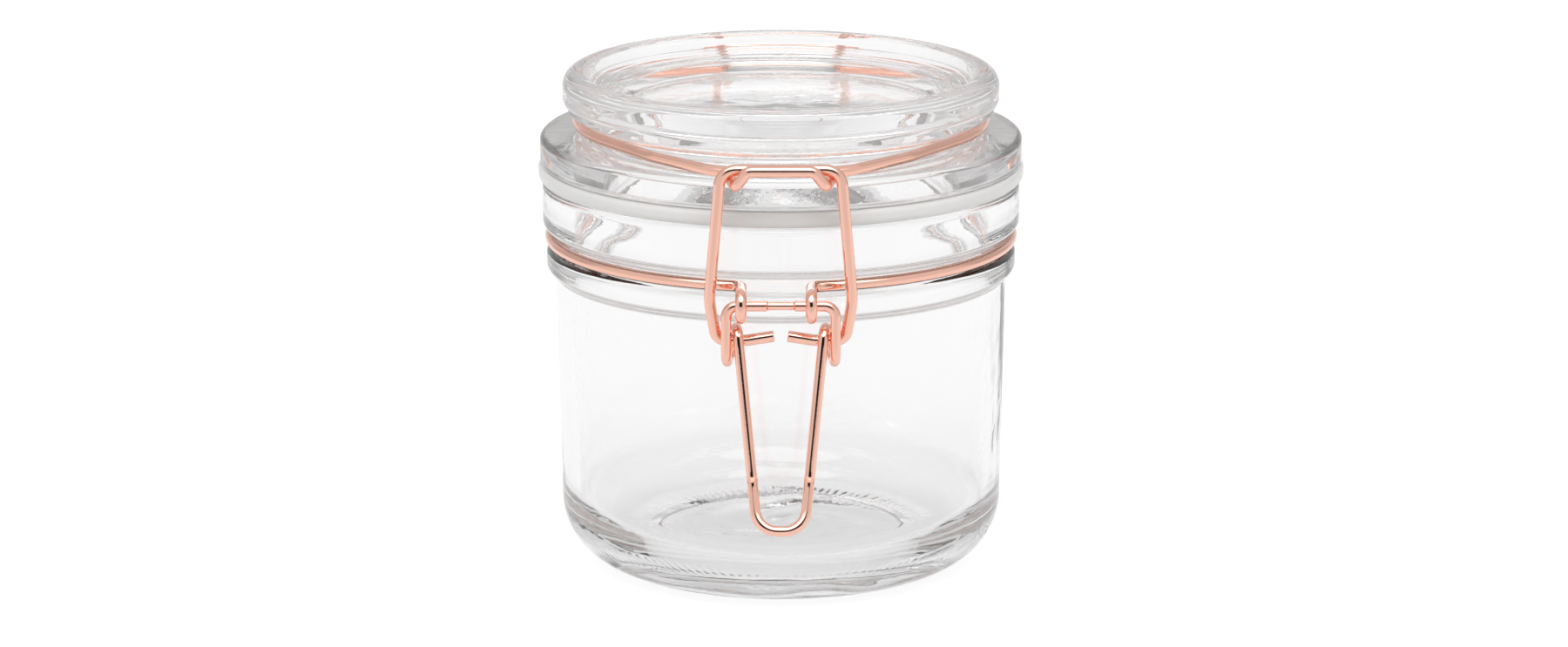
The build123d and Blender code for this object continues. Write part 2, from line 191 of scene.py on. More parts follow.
def rounded_path(points, radii, closed=False):
    """A path with each corner rounded. A corner with no radius stays sharp."""
    points = [Vector(p) for p in points]
    path = []
    for i, (corner, radius) in enumerate(zip(points, radii)):
        inside = closed or 0 < i < len(points) - 1
        if radius and inside:
            step = FINE_STEP if radius > WIDE_BEND else ARC_STEP
            path += rounded_corner(points[i - 1], corner, points[(i + 1) % len(points)],
                                   radius, step)
        else:
            path.append(corner)
    return path


def divided(path, step, closed=False):
    """The path with its long runs divided."""
    ends = path[1:] + path[:1] if closed else path[1:]
    result = []
    for a, b in zip(path, ends):
        count = max(1, ceil((b - a).length / step))
        result += [a.lerp(b, i / count) for i in range(count)]
    return result if closed else result + [path[-1]]


def turned(name, outline, moved=None, closed=False, around=AROUND):
    """A mesh turned about Z from an outline of (radius, height, corner radius)."""
    corners = [(r, 0, z) for r, z, _ in outline]
    path = rounded_path(corners, [c[2] for c in outline], closed)
    path = np.array([(p.x, p.z) for p in divided(path, RUN_STEP, closed)])
    poles = not closed
    rings = path[1:-1] if poles else path
    turn = np.arange(around) * 2 * pi / around
    radius, angle = np.meshgrid(rings[:, 0], turn, indexing="ij")
    height = np.meshgrid(rings[:, 1], turn, indexing="ij")[0]
    if moved:
        radius, height = moved(radius, height, angle)
    places = np.stack([radius * np.sin(angle), -radius * np.cos(angle), height], -1)
    verts = [tuple(p) for p in places.reshape(-1, 3)]
    faces = []
    count = len(rings)
    for i in range(count if closed else count - 1):
        here, above = i * around, ((i + 1) % count) * around
        faces += [(here + k, here + (k + 1) % around, above + (k + 1) % around, above + k)
                  for k in range(around)]
    if poles:
        low, high = len(verts), len(verts) + 1
        verts += [(0, 0, path[0, 1]), (0, 0, path[-1, 1])]
        last = (count - 1) * around
        faces += [(low, (k + 1) % around, k) for k in range(around)]
        faces += [(high, last + k, last + (k + 1) % around) for k in range(around)]
    return piece_from(name, verts, faces)


def piece_from(name, verts, faces):
    """A smooth-shaded mesh object."""
    mesh = bpy.data.meshes.new(name)
    mesh.from_pydata(verts, [], faces)
    mesh.validate()
    mesh.shade_smooth()
    piece = bpy.data.objects.new(name, mesh)
    bpy.context.scene.collection.objects.link(piece)
    return piece


def finished(piece, body, slot, *nodes):
    """Says which body a piece rides on and hides the CAD nodes it stands for; its finish, the slot,
    is not used.
    """
    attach(piece, body)
    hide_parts(*nodes)


# ---- the jar's glass ----
RING_EDGE_IN = 0.2 * MM     # standing ring's outside, inside the start of the base corner
RING_WIDTH = 2.4 * MM
RING_ROUND = 0.8 * MM
PUSH_UP_ROUND = 1.2 * MM
PUSH_UP_SLOPE = 0.9 * MM
PUSH_UP_STEP = 0.7 * MM
SHOULDER_ROUND = 1.5 * MM
BEAD_SLOPE = 1.0 * MM       # height over which the bead leaves the wall
BEAD_LEAN = 0.2 * MM
BEAD_ROUND = 1.7 * MM
GROOVE_IN = 0.15 * MM       # neck groove's root, inside the wall below it
GROOVE_SLOPE = 0.6 * MM
GROOVE_ROUND = 0.8 * MM
RIM_ROUND = 1.5 * MM
MOUTH_ROUND = 1.2 * MM
BORE_ROUND = 3 * MM


def jar_outline(s):
    """Outline of the jar, from the middle of its underside to the middle of its floor."""
    foot = s.body_radius - s.body_taper
    ring = foot - s.base_corner - RING_EDGE_IN
    floor = s.push_up + s.base_thickness
    bead = s.body_radius + s.bead_proud
    bead_top = s.body_height + s.bead_height + BEAD_SLOPE
    root = s.body_radius - GROOVE_IN
    rim = JAR_HIGH.x
    rim_bottom = bead_top + s.groove_height
    bore = s.body_radius - s.wall
    mouth = bore - s.mouth_step
    top = JAR_HIGH.z
    return [
        (0, s.push_up, 0),
        (s.push_up_radius, s.push_up, PUSH_UP_ROUND),
        (s.push_up_radius + PUSH_UP_SLOPE, s.push_up - PUSH_UP_STEP, RING_ROUND),
        (ring - RING_WIDTH, 0.0, RING_ROUND),
        (ring, 0.0, 0),
        (foot, 0.0, s.base_corner),
        (s.body_radius, s.body_height, SHOULDER_ROUND),
        (bead, s.body_height + BEAD_SLOPE, BEAD_ROUND),
        (bead, bead_top - BEAD_LEAN, BEAD_ROUND),
        (root, bead_top + GROOVE_SLOPE, GROOVE_ROUND),
        (root, rim_bottom - GROOVE_SLOPE, GROOVE_ROUND),
        (rim, rim_bottom + GROOVE_SLOPE, RIM_ROUND),
        (rim, top, RIM_ROUND),
        (mouth, top, MOUTH_ROUND),
        (mouth, rim_bottom, BORE_ROUND),
        (bore, bead_top, BORE_ROUND),
        (foot - s.wall, floor, s.base_corner - s.wall),
        (0, floor, 0),
    ]


# Waves in pressed glass: how many around, their turn per metre along, and their phase.
WALL_SLOW = (2, 0, 0.7)
WALL_LEANING = (3, 40, 2.1)
WALL_QUICK = (7, 90, 1.3)
WALL_BANDS = (0, 170, 0.0)
CRIMP_FINE = (21, 420, 0.0)
CRIMP_COARSE = (8, -300, 1.0)
SKIN_LONG = (5, 130, 0.0)
SKIN_SHORT = (11, 0, 1.9)
FLOOR_SWIRL = (2, 520, 0.0)
SWIRL_BEND = (3, 200, 0.0)
LID_SLOW = (2, 0, 0.4)
LID_LEANING = (5, 160, 0.0)
LID_SWIRL = (3, 420, 0.0)
LID_RINGS = (-1, 700, 0.0)

# How strong each of the jar's waves is, as a share of the glass's waviness.
LEANING_SHARE = 0.6
QUICK_SHARE = 0.35
CRIMP_SHARE = 0.5
SKIN_SHARE = 0.25
SWIRL_SHARE = 2.2

# Where the jar's waves are.
WALL_SPLIT = 0.8 * MM       # parts the wall's inside from its outside, beyond the bore
BASE_CLEAR = 1.0 * MM       # above the push-up, to leave the underside alone
PLAIN_SHOULDER = 2 * MM
CRIMP_BELOW = 7 * MM        # middle of the crimped band, below the shoulder
CRIMP_SPREAD = 8 * MM
CALM_BASE = 8 * MM
BASE_FADE = 10 * MM
NECK_FADE_TOP = 4 * MM      # above the shoulder
NECK_FADE = 6 * MM
NECK_SHARE = 0.3
SWIRL_RADIUS = 27 * MM
SWIRL_CALM = 8 * MM
SWIRL_BEND_TURN = 0.6

# Grip marks under the standing ring.
GRIP_IN = 2.8 * MM          # inner end of the marks, inside the start of the base corner
GRIP_HEIGHT = 0.9 * MM
GRIP_DEPTH = 0.06 * MM
GRIP_EVEN = 0.6             # share of their depth that doesn't vary around the ring
GRIP_SIDES = 2
GRIP_PHASE = 0.9


def wave(kind, angle, along):
    """A sine wave around the axis, which also turns along a height or a radius."""
    around, rate, phase = kind
    return np.sin(around * angle + rate * along + phase)


def jar_waves(s, depth):
    """How pressing and cooling moved the jar's surfaces off a true turned shape, and the
    grip marks pressed into the standing ring."""
    split = s.body_radius - s.wall + WALL_SPLIT
    base = s.push_up + BASE_CLEAR
    grip_start = s.body_radius - s.body_taper - s.base_corner - GRIP_IN

    def moved(radius, height, angle):
        inside = (radius < split) & (height > base)
        outside = (radius > split) & (height < s.body_height - PLAIN_SHOULDER)
        floor = (radius < SWIRL_RADIUS) & (height > base)
        slow = wave(WALL_SLOW, angle, height) + LEANING_SHARE * wave(WALL_LEANING, angle, height)
        quick = QUICK_SHARE * wave(WALL_QUICK, angle, height) * wave(WALL_BANDS, angle, height)
        band = np.exp(-((height - s.body_height + CRIMP_BELOW) / CRIMP_SPREAD) ** 2)
        crimp = wave(CRIMP_FINE, angle, height) * wave(CRIMP_COARSE, angle, height)
        fade = np.clip((height - CALM_BASE) / BASE_FADE, 0, 1)
        neck = (s.body_height + NECK_FADE_TOP - height) / NECK_FADE
        fade = fade * np.clip(neck, NECK_SHARE, 1)
        skin = depth * SKIN_SHARE * wave(SKIN_LONG, angle, height)
        skin = skin * wave(SKIN_SHORT, angle, height)
        bend = SWIRL_BEND_TURN * wave(SWIRL_BEND, angle, radius)
        swirl = wave(FLOOR_SWIRL, angle + bend, radius) * radius / (radius + SWIRL_CALM)
        grip = np.clip(1 - height / GRIP_HEIGHT, 0, 1) * (radius > grip_start)
        grip = grip * (1 - np.cos(s.knurls * angle))
        grip = grip * (GRIP_EVEN + (1 - GRIP_EVEN) * np.cos(GRIP_SIDES * angle + GRIP_PHASE))
        pressed = depth * fade * (slow + quick + CRIMP_SHARE * band * crimp)
        radius = radius + np.where(inside, pressed, 0)
        radius = radius + np.where(outside, skin * fade - np.abs(skin), 0)
        lift = np.where(floor, SWIRL_SHARE * depth * swirl, 0)
        return radius, height + lift + GRIP_DEPTH * grip

    return moved


# ---- the lid's glass and the seal ----
UNDERSIDE_ROUND = 2 * MM
PLUG_WALL = 5.0 * MM
PLUG_ROUND = 1 * MM
PLUG_CORNER = 0.2 * MM
FLANGE_LOW_ROUND = 0.5 * MM
FLANGE_TOP_ROUND = 1.2 * MM
LID_GROOVE_ROUND = 0.8 * MM
LID_GROOVE_SLOPE = 1.2 * MM
LID_GROOVE_RISE = 0.5 * MM
WIRE_SEAT = 1.1 * MM        # groove's lower corner, below the wire's middle
RIM_UNDER_SLOPE = 0.2 * MM
RIM_UNDER_IN = 1.3 * MM
RIM_SIDE_RISE = 2.4 * MM
RIM_SIDE_ROUND = 2.5 * MM
CREST_ROUND = 3.0 * MM
CREST_INNER_ROUND = 1.0 * MM
LEDGE_ROUND = 0.8 * MM
DISC_SLOPE = 1.7 * MM
DISC_ROUND = 1.2 * MM
STEP_START = 0.6            # place of the ledge's first fine step, in steps
STEP_HEIGHT = 0.24 * MM
STEP_RUN = 0.2 * MM
STEP_ROUND = 0.1 * MM


def ledge_steps(s, outer, inner, ledge):
    """Outline points of the fine steps across the ledge, from outside to inside."""
    steps = []
    for k in range(s.ledge_rings):
        part = (k + STEP_START) / s.ledge_rings
        radius = outer + (inner - outer) * part
        top = ledge - s.ledge_fall * part + STEP_HEIGHT / 2
        steps.append((radius, top, STEP_ROUND))
        steps.append((radius - STEP_RUN, top - STEP_HEIGHT, STEP_ROUND))
    return steps


def lid_outline(s):
    """Outline of the lid, from the middle of its underside to the middle of its disc."""
    flange = LID_HIGH.x
    flange_top = SEAL_HIGH.z + s.flange_thickness
    root = flange - s.groove_in
    wire = flange_top + s.wire_rise
    rim = root + s.rim_proud
    top = LID_HIGH.z
    rim_bottom = top - s.rim_height
    ledge = top - s.recess
    disc = ledge - s.disc_depth
    wall = rim - s.rim_width
    under = disc - s.floor
    inner = s.disc_radius + DISC_SLOPE
    return [
        (0, under, 0),
        (s.underside, under, UNDERSIDE_ROUND),
        (s.plug_radius - PLUG_WALL, LID_LOW.z, UNDERSIDE_ROUND),
        (s.plug_radius, LID_LOW.z, PLUG_ROUND),
        (s.plug_radius, SEAL_HIGH.z, PLUG_CORNER),
        (flange, SEAL_HIGH.z, FLANGE_LOW_ROUND),
        (flange, flange_top, FLANGE_TOP_ROUND),
        (root + LID_GROOVE_SLOPE, flange_top + LID_GROOVE_RISE, LID_GROOVE_ROUND),
        (root, wire - WIRE_SEAT, LID_GROOVE_ROUND),
        (root, rim_bottom - RIM_UNDER_SLOPE, LID_GROOVE_ROUND),
        (rim - RIM_UNDER_IN, rim_bottom + RIM_UNDER_SLOPE, LID_GROOVE_ROUND),
        (rim, rim_bottom + RIM_SIDE_RISE, RIM_SIDE_ROUND),
        (rim, top, CREST_ROUND),
        (wall + s.rim_draft, top, CREST_INNER_ROUND),
        (wall, ledge, LEDGE_ROUND),
        *ledge_steps(s, wall, inner, ledge),
        (inner, ledge - s.ledge_fall, LEDGE_ROUND),
        (s.disc_radius, disc, DISC_ROUND),
        (0, disc, 0),
    ]


# How strong the lid's waves are, as a share of the glass's waviness, and where they are.
LID_LEANING_SHARE = 0.5
LID_FLAT_SHARE = 0.4
LID_SWIRL_SHARE = 0.2
LID_WALL_SHARE = 0.4
LID_FLAT_RADIUS = 33 * MM
LID_EDGE_CALM = 9 * MM


def lid_waves(depth):
    """How the pressed lid's surfaces are off a true turned shape."""
    def moved(radius, height, angle):
        slow = wave(LID_SLOW, angle, height)
        slow = slow + LID_LEANING_SHARE * wave(LID_LEANING, angle, height)
        swirl = wave(LID_SWIRL, angle, radius) * wave(LID_RINGS, angle, radius)
        flat = radius < LID_FLAT_RADIUS
        walls = (radius > LID_FLAT_RADIUS) & (radius < LID_HIGH.x - LID_EDGE_CALM)
        lift = LID_FLAT_SHARE * slow + LID_SWIRL_SHARE * swirl
        height = height + np.where(flat, depth * radius / LID_HIGH.x * lift, 0)
        return radius + np.where(walls, LID_WALL_SHARE * depth * slow, 0), height

    return moved


AIR_FILM = 0.04 * MM        # air between the seal and the glass on both sides
SEAL_BORE_GAP = 0.3 * MM
SEAL_BORE_ROUND = 0.4 * MM
SEAL_EDGE_ROUND = 1.3 * MM


def seal_outline(s):
    """Outline of the seal ring."""
    bore = s.plug_radius + SEAL_BORE_GAP
    out = SEAL_HIGH.x
    low, high = SEAL_LOW.z + AIR_FILM, SEAL_HIGH.z - AIR_FILM
    return [
        (bore, low, SEAL_BORE_ROUND),
        (out, low, SEAL_EDGE_ROUND),
        (out, high, SEAL_EDGE_ROUND),
        (bore, high, SEAL_BORE_ROUND),
    ]


# ---- wires ----
# A half is a distance from the middle plane of the latch to one side.
LOOP_BEND = 2.1 * MM        # bends of a loop around another wire
LOOP_END = 1.6 * MM         # how far a loop's cut end reaches past the wire inside it
BRACKET_BEND = 3 * MM
ARM_BEND = 2.2 * MM

NECK_BACK_HALF = 15.2 * MM
NECK_FRONT_LEAVES = 14.0    # degrees from the front where the ring turns off to an eye
LEFT_EYE_HALF = 7.5 * MM
RIGHT_EYE_HALF = 5.75 * MM

LID_FRONT_LEAVES = 57       # degrees from the front where the ring turns off to the hook
LID_BACK_LEAVES = 22        # degrees from the back where it turns off to an eye
LID_RUN_HALF = 24.5 * MM
HINGE_EYE_GAP = 0.4 * MM    # between an eye and the neck wire's bracket
HOOK_GAP = 0.65 * MM        # in front of the bail's bar
HOOK_DROP = 0.6 * MM        # below it
HOOK_BEND = 1.5 * MM
HOOK_TIP_HALF = 6.2 * MM
HOOK_TIP_RISE = 0.3 * MM
HOOK_FOOT_HALF = 8.4 * MM
HOOK_FOOT_BACK = 1.0 * MM
HOOK_UNDER_HALF = 9.0 * MM
HOOK_UNDER_BACK = 1.2 * MM
HOOK_TOP_HALF = 10.0 * MM
HOOK_TOP_BACK = 0.5 * MM
HOOK_RUN_HALF = 13.5 * MM
HOOK_RUN_BACK = 4.4 * MM
HOOK_RUN_BEND = 5 * MM
LID_RUN_BEND = 18 * MM

ARM_HALF = 10.3 * MM
ARM_FOOT_HALF = 9.8 * MM
COIL_BACK_HALF = 8.65 * MM
COIL_FRONT_HALF = 8.15 * MM
COIL_DROP = 4.0 * MM
AXLE_END_HALF = 2.55 * MM
HANDLE_BEND_HALF = 5.4 * MM
HANDLE_BEND_RISE = 8.8 * MM
HANDLE_BEND_OUT = 4.8 * MM
HANDLE_BEND = 12 * MM
HANDLE_TIP_HALF = 4.5 * MM
HANDLE_TIP_OUT = 4.4 * MM
HANDLE_TIP_BEND = 4.3 * MM

BAIL_TOP_HALF = 11.3 * MM
BAIL_TOP_BEND = 3.2 * MM
BAIL_KNEE_HALF = 13.5 * MM
BAIL_KNEE_RISE = 8.0 * MM
BAIL_KNEE_BEND = 10 * MM
BAIL_FOOT_HALF = 12.2 * MM
PIN_RUN_HALF = 6.3 * MM
PIN_RUN_BEND = 4 * MM
PIN_END_HALF = 1.3 * MM
PIN_END_RISE = 0.8 * MM


def front(x, forward, z):
    """A point named by how far it stands in front of the jar's axis."""
    return (x, -forward, z)


def mirrored(half):
    """A path from its middle outwards, doubled into one from end to end."""
    return [(-x, y, z) for x, y, z in half][::-1] + half


def ring_corner(radius, start, end, z):
    """Where the tangents at two angles of a ring meet, in degrees from the front."""
    middle = radians(start + end) / 2
    reach = radius / cos(radians(end - start) / 2)
    return (-reach * sin(middle), -reach * cos(middle), z)


def on_tangent(radius, angle, half):
    """How far from the axis a ring's tangent runs, at a distance to the left of it."""
    return (radius - half * sin(radians(angle))) / cos(radians(angle))


def neck_wire_path(s):
    """The ring in the jar's groove, with two eyes in front and the bracket at the back."""
    ring = NECK_WIRE_BOX[1].x - s.wire / 2
    loop = (s.wire + s.lever_wire) / 2 + s.loop_gap
    bracket = hypot(NECK_BACK_HALF, HINGE.y)
    turn = atan2(NECK_BACK_HALF, HINGE.y) + acos(ring / bracket)
    leaves = 180 - turn * 180 / pi

    def half(eye):
        run = on_tangent(ring, NECK_FRONT_LEAVES, eye)
        return [
            front(-eye, -AXLE.y - LOOP_END, AXLE.z - loop),
            front(-eye, -AXLE.y + loop, AXLE.z - loop),
            front(-eye, -AXLE.y + loop, AXLE.z + loop),
            front(-eye, run, s.ring_height),
            ring_corner(ring, NECK_FRONT_LEAVES, leaves, s.ring_height),
            (-NECK_BACK_HALF, HINGE.y, s.ring_height),
            (-NECK_BACK_HALF, HINGE.y, HINGE.z),
        ]

    left = half(LEFT_EYE_HALF)
    right = [(-x, y, z) for x, y, z in half(RIGHT_EYE_HALF)]
    bends = [0, LOOP_BEND, LOOP_BEND, LOOP_BEND, ring, BRACKET_BEND, BRACKET_BEND]
    return left + right[::-1], bends + bends[::-1]


def lid_wire_path(s):
    """The ring in the lid's groove, with the hook in front and two eyes at the back."""
    ring = LID_WIRE_BOX[1].x - s.wire / 2
    level = HINGE.z + s.wire + s.loop_gap
    bail, bar = s.bail_front, s.bail_top
    hook = bail + s.wire + HOOK_GAP
    dip = bar - s.wire - HOOK_DROP
    loop = s.wire + s.loop_gap
    run_end = on_tangent(ring, LID_FRONT_LEAVES, LID_RUN_HALF)
    eye = NECK_BACK_HALF - s.wire - HINGE_EYE_GAP
    back = on_tangent(ring, LID_BACK_LEAVES, eye)
    half = [
        front(HOOK_TIP_HALF, hook, bar + HOOK_TIP_RISE),
        front(HOOK_FOOT_HALF, hook - HOOK_FOOT_BACK, dip),
        front(HOOK_UNDER_HALF, bail - HOOK_UNDER_BACK, dip),
        front(HOOK_TOP_HALF, bail - s.wire - HOOK_TOP_BACK, level),
        front(HOOK_RUN_HALF, bail - HOOK_RUN_BACK, level),
        front(LID_RUN_HALF, run_end, level),
        ring_corner(ring, -LID_FRONT_LEAVES, LID_BACK_LEAVES - 180, level),
        (eye, back, level),
        (eye, HINGE.y + loop, level),
        (eye, HINGE.y + loop, HINGE.z - loop),
        (eye, HINGE.y - LOOP_END, HINGE.z - loop),
    ]
    bends = [HOOK_BEND] * 4 + [HOOK_RUN_BEND, LID_RUN_BEND, ring, BRACKET_BEND,
                               LOOP_BEND, LOOP_BEND, 0]
    return mirrored(half), bends[::-1] + bends


def lever_path(s):
    """The handle, a coil around each of the bail's pins, the arms and the axle's halves."""
    loop = (s.wire + s.lever_wire) / 2 + s.loop_gap
    pins = -PINS.y
    foot = PINS.z - COIL_DROP
    end = LEVER_BOX[0].z + s.lever_wire / 2
    kick = pins + loop + HANDLE_BEND_OUT
    half = [
        front(HANDLE_TIP_HALF, kick + HANDLE_TIP_OUT, end),
        front(HANDLE_BEND_HALF, kick, end + HANDLE_BEND_RISE),
        front(COIL_FRONT_HALF, pins + loop, PINS.z + loop),
        front(COIL_BACK_HALF, pins - loop, PINS.z + loop),
        front(ARM_FOOT_HALF, pins - loop, foot),
        front(ARM_HALF, pins + loop, foot),
        front(ARM_HALF, -AXLE.y, AXLE.z),
        front(AXLE_END_HALF, -AXLE.y, AXLE.z),
    ]
    bends = [HANDLE_TIP_BEND, HANDLE_BEND] + [LOOP_BEND] * 4 + [ARM_BEND, 0]
    return mirrored(half), bends[::-1] + bends


def bail_path(s):
    """The frame between the hook and the lever, whose two ends are the pins."""
    pins, bail, bar = -PINS.y, s.bail_front, s.bail_top
    knee = pins + (bail - pins) * BAIL_KNEE_RISE / (bar - PINS.z)
    half = [
        front(BAIL_TOP_HALF, bail, bar),
        front(BAIL_KNEE_HALF, knee, PINS.z + BAIL_KNEE_RISE),
        front(BAIL_FOOT_HALF, pins, PINS.z),
        front(PIN_RUN_HALF, pins, PINS.z),
        front(PIN_END_HALF, pins, PINS.z + PIN_END_RISE),
    ]
    bends = [BAIL_TOP_BEND, BAIL_KNEE_BEND, ARM_BEND, PIN_RUN_BEND, 0]
    return mirrored(half), bends[::-1] + bends


CHAMFER = 0.14 * MM
CHAMFER_SHARE = 0.86        # width of a cut end, as a share of the wire's
NICK_LENGTH = 0.5 * MM
NICK_SHARE = 0.9            # width at a nick, as a share of the wire's
NICK_RISE = 9.9 * MM        # nick's height above the handle's lowest point
WIRE_SIDES = 28
SHARP_EDGE = radians(28)


def nicked(path, height):
    """The path with three close points wherever it crosses a height, for a nick there."""
    result, nicks = path[:1], []
    for a, b in zip(path, path[1:]):
        if (a.z - height) * (b.z - height) < 0:
            middle = a.lerp(b, (height - a.z) / (b.z - a.z))
            along = (b - a).normalized() * NICK_LENGTH / 2
            nicks.append(len(result) + 1)
            result += [middle - along, middle, middle + along]
        result.append(b)
    return result, nicks


def wire_curve(name, points, radii, nick_height=None):
    """A curve along a bent wire's middle, whose ends narrow for the cut's chamfer."""
    path = divided(rounded_path(points, radii), WIRE_STEP)
    first = path[0] + (path[1] - path[0]).normalized() * CHAMFER
    last = path[-1] + (path[-2] - path[-1]).normalized() * CHAMFER
    path = [path[0], first] + path[1:-1] + [last, path[-1]]
    nicks = []
    if nick_height:
        path, nicks = nicked(path, nick_height)
    curve = bpy.data.curves.new(name, "CURVE")
    curve.dimensions = "3D"
    spline = curve.splines.new("POLY")
    spline.points.add(len(path) - 1)
    for place, point in zip(path, spline.points):
        point.co = (*place, 1)
    for point in (spline.points[0], spline.points[-1]):
        point.radius = CHAMFER_SHARE
    for i in nicks:
        spline.points[i].radius = NICK_SHARE
    carrier = bpy.data.objects.new(name + "_path", curve)
    bpy.context.scene.collection.objects.link(carrier)
    return carrier


def wire_tree():
    """Geometry Nodes tree that draws a round wire along a curve."""
    tree = bpy.data.node_groups.new("Bent wire", "GeometryNodeTree")
    face = tree.interface
    face.new_socket("Path", in_out="INPUT", socket_type="NodeSocketGeometry")
    diameter = face.new_socket("Diameter", in_out="INPUT", socket_type="NodeSocketFloat")
    diameter.default_value = 2.2 * MM
    sides = face.new_socket("Sides", in_out="INPUT", socket_type="NodeSocketInt")
    sides.default_value = WIRE_SIDES
    edge = face.new_socket("Edge Angle", in_out="INPUT", socket_type="NodeSocketFloat")
    edge.default_value = SHARP_EDGE
    face.new_socket("Finish", in_out="INPUT", socket_type="NodeSocketMaterial")
    face.new_socket("Wire", in_out="OUTPUT", socket_type="NodeSocketGeometry")
    nodes, link = tree.nodes, tree.links.new
    given = nodes.new("NodeGroupInput")
    half = nodes.new("ShaderNodeMath")
    half.operation = "DIVIDE"
    half.inputs[1].default_value = 2
    profile = nodes.new("GeometryNodeCurvePrimitiveCircle")
    taper = nodes.new("GeometryNodeInputRadius")
    sweep = nodes.new("GeometryNodeCurveToMesh")
    sweep.inputs["Fill Caps"].default_value = True
    smooth = nodes.new("GeometryNodeSetShadeSmooth")
    angle = nodes.new("GeometryNodeInputMeshEdgeAngle")
    sharp = nodes.new("FunctionNodeCompare")
    sharp.operation = "GREATER_THAN"
    crease = nodes.new("GeometryNodeSetShadeSmooth")
    crease.domain = "EDGE"
    crease.inputs["Shade Smooth"].default_value = False
    real = nodes.new("GeometryNodeRealizeInstances")
    finish = nodes.new("GeometryNodeSetMaterial")
    done = nodes.new("NodeGroupOutput")
    link(given.outputs["Diameter"], half.inputs[0])
    link(half.outputs[0], profile.inputs["Radius"])
    link(given.outputs["Sides"], profile.inputs["Resolution"])
    link(given.outputs["Path"], sweep.inputs["Curve"])
    link(profile.outputs["Curve"], sweep.inputs["Profile Curve"])
    link(taper.outputs["Radius"], sweep.inputs["Scale"])
    link(sweep.outputs["Mesh"], smooth.inputs["Geometry"])
    link(angle.outputs["Unsigned Angle"], sharp.inputs["A"])
    link(given.outputs["Edge Angle"], sharp.inputs["B"])
    link(smooth.outputs["Geometry"], crease.inputs["Geometry"])
    link(sharp.outputs["Result"], crease.inputs["Selection"])
    link(crease.outputs["Geometry"], real.inputs["Geometry"])
    link(real.outputs["Geometry"], finish.inputs["Geometry"])
    link(given.outputs["Finish"], finish.inputs["Material"])
    link(finish.outputs["Geometry"], done.inputs["Wire"])
    return tree


def set_input(modifier, name, value):
    """Sets a modifier's input by the identifier of its socket."""
    for item in modifier.node_group.interface.items_tree:
        if item.name == name and item.in_out == "INPUT":
            modifier[item.identifier] = value


def bent_wire(name, path, diameter, material, nick_height=None):
    """The finished mesh of one bent wire."""
    carrier = wire_curve(name, *path, nick_height)
    tree = bpy.data.node_groups.get("Bent wire") or wire_tree()
    modifier = carrier.modifiers.new("Bent wire", "NODES")
    modifier.node_group = tree
    set_input(modifier, "Diameter", diameter)
    set_input(modifier, "Finish", material)
    bpy.context.view_layer.update()
    seen = bpy.context.evaluated_depsgraph_get()
    mesh = bpy.data.meshes.new_from_object(carrier.evaluated_get(seen))
    bpy.data.objects.remove(carrier)
    mesh.name = name
    piece = bpy.data.objects.new(name, mesh)
    bpy.context.scene.collection.objects.link(piece)
    return piece


# ---- materials ----
def surface_noise_group():
    """Shader group: a fine and a slow noise mixed into one height."""
    group = bpy.data.node_groups.new("Surface noise", "ShaderNodeTree")
    face = group.interface
    for name, value in (("Slow Scale", 30.0), ("Fine Scale", 400.0), ("Fine Share", 0.3)):
        socket = face.new_socket(name, in_out="INPUT", socket_type="NodeSocketFloat")
        socket.default_value = value
    face.new_socket("Height", in_out="OUTPUT", socket_type="NodeSocketFloat")
    nodes, link = group.nodes, group.links.new
    given = nodes.new("NodeGroupInput")
    place = nodes.new("ShaderNodeTexCoord")
    slow = nodes.new("ShaderNodeTexNoise")
    slow.inputs["Detail"].default_value = 2
    fine = nodes.new("ShaderNodeTexNoise")
    fine.inputs["Detail"].default_value = 3
    mix = nodes.new("ShaderNodeMix")
    done = nodes.new("NodeGroupOutput")
    for noise, scale in ((slow, "Slow Scale"), (fine, "Fine Scale")):
        link(place.outputs["Object"], noise.inputs["Vector"])
        link(given.outputs[scale], noise.inputs["Scale"])
    link(given.outputs["Fine Share"], mix.inputs["Factor"])
    link(slow.outputs["Fac"], mix.inputs["A"])
    link(fine.outputs["Fac"], mix.inputs["B"])
    link(mix.outputs["Result"], done.inputs["Height"])
    return group


def noise_node(tree, slow, fine, part):
    """The surface noise group placed in a material, with its own values."""
    node = tree.nodes.new("ShaderNodeGroup")
    node.node_tree = bpy.data.node_groups.get("Surface noise") or surface_noise_group()
    node.inputs["Slow Scale"].default_value = slow
    node.inputs["Fine Scale"].default_value = fine
    node.inputs["Fine Share"].default_value = part
    return node


def new_material(name):
    """A material with a Principled shader, and that shader."""
    material = bpy.data.materials.new(name)
    material.use_nodes = True
    return material, material.node_tree.nodes["Principled BSDF"]


def bumped(tree, height, shader, distance):
    """Feeds a height to the shader's normal."""
    bump = tree.nodes.new("ShaderNodeBump")
    bump.inputs["Distance"].default_value = distance
    tree.links.new(height, bump.inputs["Height"])
    tree.links.new(bump.outputs["Normal"], shader.inputs["Normal"])


def glass(look):
    """Clear polished soda glass."""
    material = bpy.data.materials.get("clear_glass")
    if material:
        return material
    material, shader = new_material("clear_glass")
    tree = material.node_tree
    shader.inputs["Base Color"].default_value = look.tint
    shader.inputs["Transmission Weight"].default_value = 1.0
    shader.inputs["Roughness"].default_value = 0.0
    shader.inputs["IOR"].default_value = 1.52
    noise = noise_node(tree, slow=60, fine=320, part=0.12)
    bumped(tree, noise.outputs["Height"], shader, distance=0.12 * MM)
    return material


